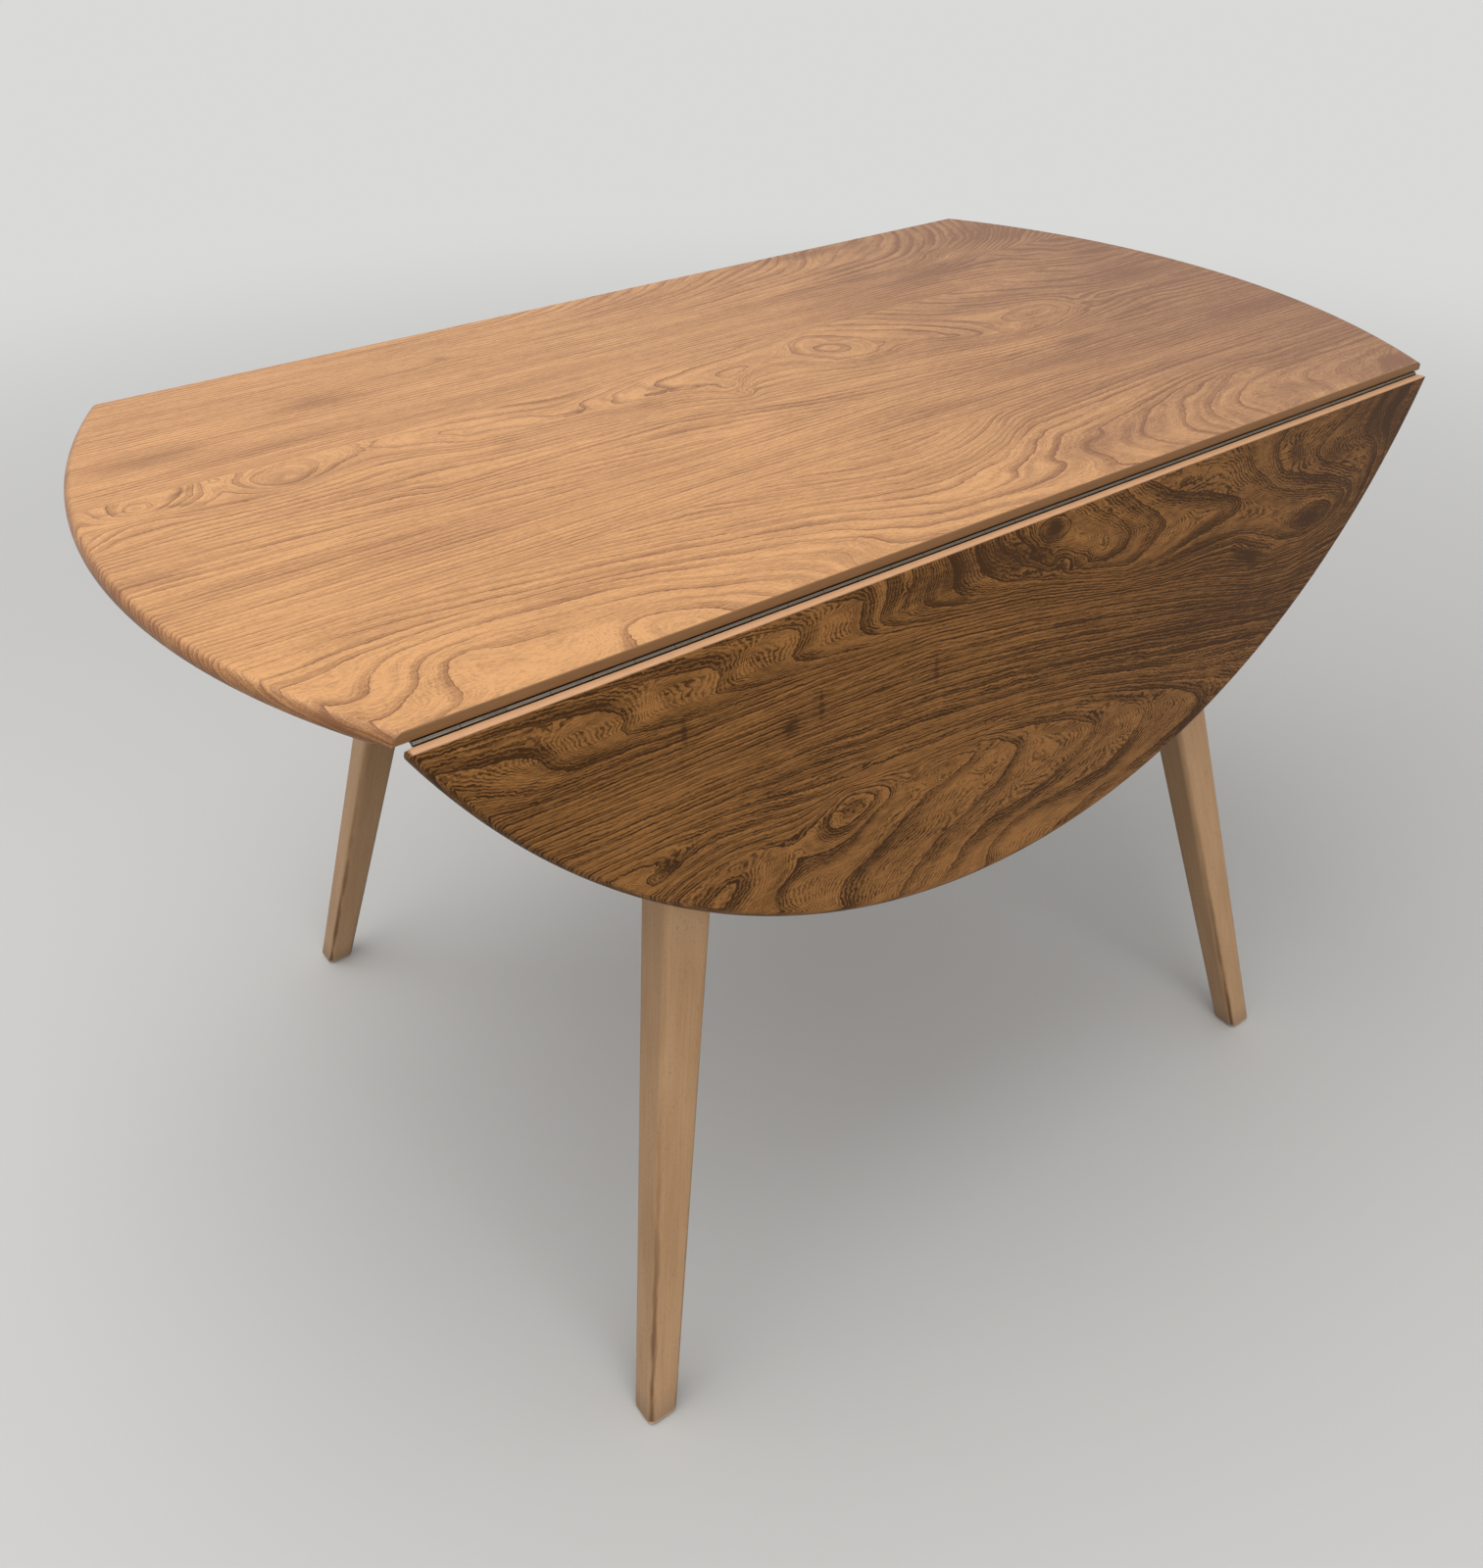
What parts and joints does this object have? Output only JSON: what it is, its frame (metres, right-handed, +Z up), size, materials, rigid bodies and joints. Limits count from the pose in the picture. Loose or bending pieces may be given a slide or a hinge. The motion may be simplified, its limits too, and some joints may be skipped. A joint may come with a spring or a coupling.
{
  "type": "drop-leaf dining table",
  "caption": "Oval drop-leaf dining table: fixed middle panel, two hinged half-oval leaves hanging down, prop stays, railed underframe and four splayed tapered legs.",
  "frame": {"origin": "on the floor under the middle of the table", "axes": "+X along the hinge lines, +Y across them towards the rear leaf, +Z up"},
  "size_m": [1.1558, 0.7038, 0.715],
  "materials": {
    "top_elm": "satin, waxed elm boards with bold brown figure",
    "leg_beech": "satin pale beech, rubbed brown on the lower arrises",
    "frame_beech": "satin beech",
    "hinge_steel": "dull aged steel hinge strip",
    "bracket_steel": "dull zinc-plated steel",
    "screw_steel": "dull plated steel"
  },
  "bodies": {
    "table": {"centre_cross_rail": "frame_beech", "corner_brace_screws": "screw_steel", "front_bracket_screws": "screw_steel", "front_hinge_fixed_flap": "hinge_steel", "front_hinge_fixed_screws": "screw_steel", "front_hinge_pin": "hinge_steel", "front_left_corner_brace": "frame_beech", "front_left_leg": "leg_beech", "front_left_stay_bracket": "bracket_steel", "front_left_stay_pin": "screw_steel", "front_right_corner_brace": "frame_beech", "front_right_leg": "leg_beech", "front_right_stay_bracket": "bracket_steel", "front_right_stay_pin": "screw_steel", "front_side_rail": "frame_beech", "left_end_rail": "frame_beech", "rear_bracket_screws": "screw_steel", "rear_hinge_fixed_flap": "hinge_steel", "rear_hinge_fixed_screws": "screw_steel", "rear_hinge_pin": "hinge_steel", "rear_left_corner_brace": "frame_beech", "rear_left_leg": "leg_beech", "rear_left_stay_bracket": "bracket_steel", "rear_left_stay_pin": "screw_steel", "rear_right_corner_brace": "frame_beech", "rear_right_leg": "leg_beech", "rear_right_stay_bracket": "bracket_steel", "rear_right_stay_pin": "screw_steel", "rear_side_rail": "frame_beech", "right_end_rail": "frame_beech", "top_angle_brackets": "bracket_steel", "top_angle_rail_screws": "screw_steel", "top_angle_upper_screws": "screw_steel", "top_panel": "top_elm"},
    "front_leaf": {"front_catch_screws": "screw_steel", "front_hinge_leaf_flap": "hinge_steel", "front_hinge_leaf_screws": "screw_steel", "front_leaf": "top_elm", "front_left_stay_catch": "frame_beech", "front_right_stay_catch": "frame_beech"},
    "front_left_stay": {"front_left_stay": "frame_beech"},
    "front_right_stay": {"front_right_stay": "frame_beech"},
    "rear_leaf": {"rear_catch_screws": "screw_steel", "rear_hinge_leaf_flap": "hinge_steel", "rear_hinge_leaf_screws": "screw_steel", "rear_leaf": "top_elm", "rear_left_stay_catch": "frame_beech", "rear_right_stay_catch": "frame_beech"},
    "rear_left_stay": {"rear_left_stay": "frame_beech"},
    "rear_right_stay": {"rear_right_stay": "frame_beech"}
  },
  "joints": [
    {"name": "front_leaf_hinge", "type": "hinge", "parent": "table", "child": "front_leaf", "pos_m": [0, -0.3075, 0.7053], "axis": [-1, 0, 0], "range_deg": [0, 86.4]},
    {"name": "front_left_stay_pivot", "type": "hinge", "parent": "table", "child": "front_left_stay", "pos_m": [-0.11, -0.23186, 0.62475], "axis": [-1, 0, 0], "range_deg": [0, 86.4]},
    {"name": "front_right_stay_pivot", "type": "hinge", "parent": "table", "child": "front_right_stay", "pos_m": [0.11, -0.23186, 0.62475], "axis": [-1, 0, 0], "range_deg": [0, 86.4]},
    {"name": "rear_leaf_hinge", "type": "hinge", "parent": "table", "child": "rear_leaf", "pos_m": [0, 0.3075, 0.7053], "axis": [1, 0, 0], "range_deg": [0, 86.4]},
    {"name": "rear_left_stay_pivot", "type": "hinge", "parent": "table", "child": "rear_left_stay", "pos_m": [-0.11, 0.23186, 0.62475], "axis": [1, 0, 0], "range_deg": [0, 86.4]},
    {"name": "rear_right_stay_pivot", "type": "hinge", "parent": "table", "child": "rear_right_stay", "pos_m": [0.11, 0.23186, 0.62475], "axis": [1, 0, 0], "range_deg": [0, 86.4]}
  ],
  "couplings": [
    {"joint": "front_left_stay_pivot", "follows": "front_leaf_hinge", "ratio": 1},
    {"joint": "front_right_stay_pivot", "follows": "front_leaf_hinge", "ratio": 1},
    {"joint": "rear_left_stay_pivot", "follows": "rear_leaf_hinge", "ratio": 1},
    {"joint": "rear_right_stay_pivot", "follows": "rear_leaf_hinge", "ratio": 1}
  ]
}
